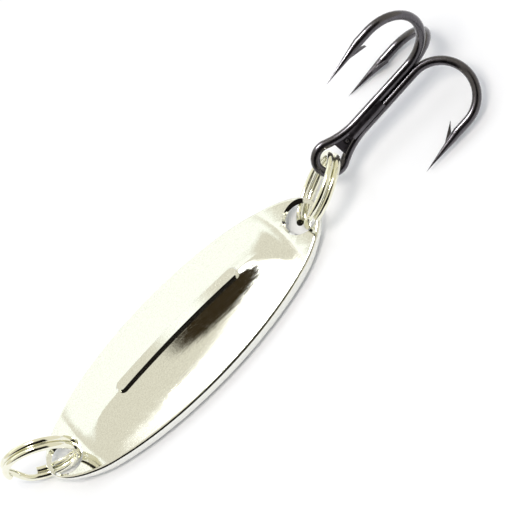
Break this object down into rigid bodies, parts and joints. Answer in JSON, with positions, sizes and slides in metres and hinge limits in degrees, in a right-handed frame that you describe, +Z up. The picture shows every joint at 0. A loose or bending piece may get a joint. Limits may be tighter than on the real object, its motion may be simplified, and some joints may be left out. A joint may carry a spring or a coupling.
{
  "type": "spoon lure",
  "caption": "Stamped keel spoon lure with a split ring at each end and a treble hook on the rear ring.",
  "frame": {"origin": "centre of the spoon's flat underside", "axes": "+X from the line end to the hook end, +Z up out of the keeled face, -Z out of the flat underside"},
  "size_m": [0.0668, 0.0158, 0.0151],
  "materials": {
    "silver_plate": "polished plating, lightly worn",
    "ring_wire": "bright plated wire",
    "hook_wire": "black nickel, glossy",
    "braze": "black nickel over braze"
  },
  "bodies": {
    "spoon": {"spoon_body": "silver_plate"},
    "line_ring": {"line_split_ring": "ring_wire"},
    "hook_ring": {"hook_split_ring": "ring_wire"},
    "treble": {"treble_double_wire": "hook_wire", "treble_single_wire": "hook_wire", "treble_braze": "braze"}
  },
  "joints": [
    {"name": "line_ring_swing", "type": "hinge", "parent": "spoon", "child": "line_ring", "pos_m": [-0.02015, 0, 0.00095], "axis": [-0.4369, -0.8758, -0.205], "range_deg": [0, 165]},
    {"name": "hook_ring_swing", "type": "hinge", "parent": "spoon", "child": "hook_ring", "pos_m": [0.02015, 0, 0.00095], "axis": [-0.386, 0.5736, 0.7225], "range_deg": [0, 120]},
    {"name": "treble_swing", "type": "hinge", "parent": "hook_ring", "child": "treble", "pos_m": [0.02541, 0.00047, 0.00395], "axis": [-0.055, -0.848, 0.5272], "range_deg": [-80, 60]}
  ]
}
